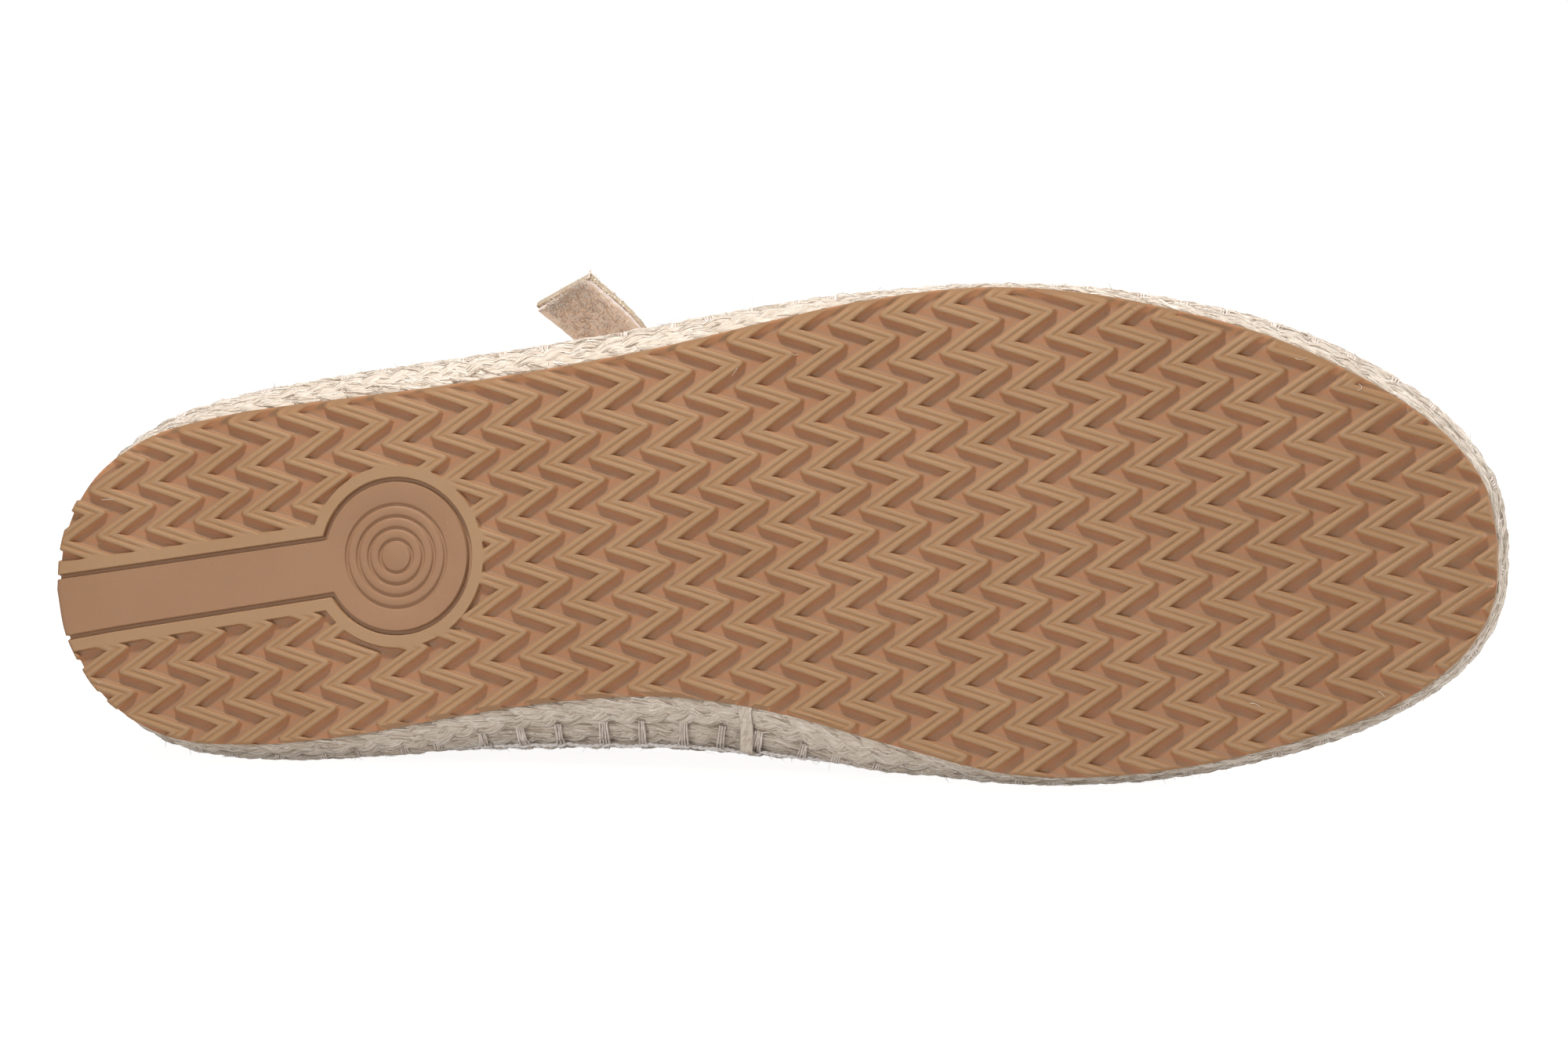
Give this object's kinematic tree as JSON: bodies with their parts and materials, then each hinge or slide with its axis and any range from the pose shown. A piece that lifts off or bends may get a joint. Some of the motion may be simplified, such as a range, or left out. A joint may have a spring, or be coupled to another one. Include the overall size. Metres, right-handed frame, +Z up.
{
  "type": "mary jane flat",
  "caption": "Women's right mary jane flat: ribbed rubber outsole, braided rope midsole, suede upper and instep strap, lying on its side with the sole facing out.",
  "frame": {"origin": "on the floor, under the middle of the bounding box", "axes": "+X from heel to toe, -Y the way the sole faces, +Z up from the floor, towards the lateral side of the shoe, which lies on its medial side"},
  "size_m": [0.265, 0.068, 0.0898],
  "materials": {
    "tan_rubber": "matte moulded rubber, tan, zigzag ribs",
    "jute": "braided natural jute with loose fibres",
    "foot_bed": "woven cotton over a thin pad",
    "suede": "tan suede, short nap",
    "strap_suede": "two-ply tan suede, rough inner face"
  },
  "bodies": {
    "root": {"outsole": "tan_rubber", "midsole": "jute", "insole": "foot_bed", "upper": "suede", "strap": "strap_suede"}
  },
  "joints": []
}
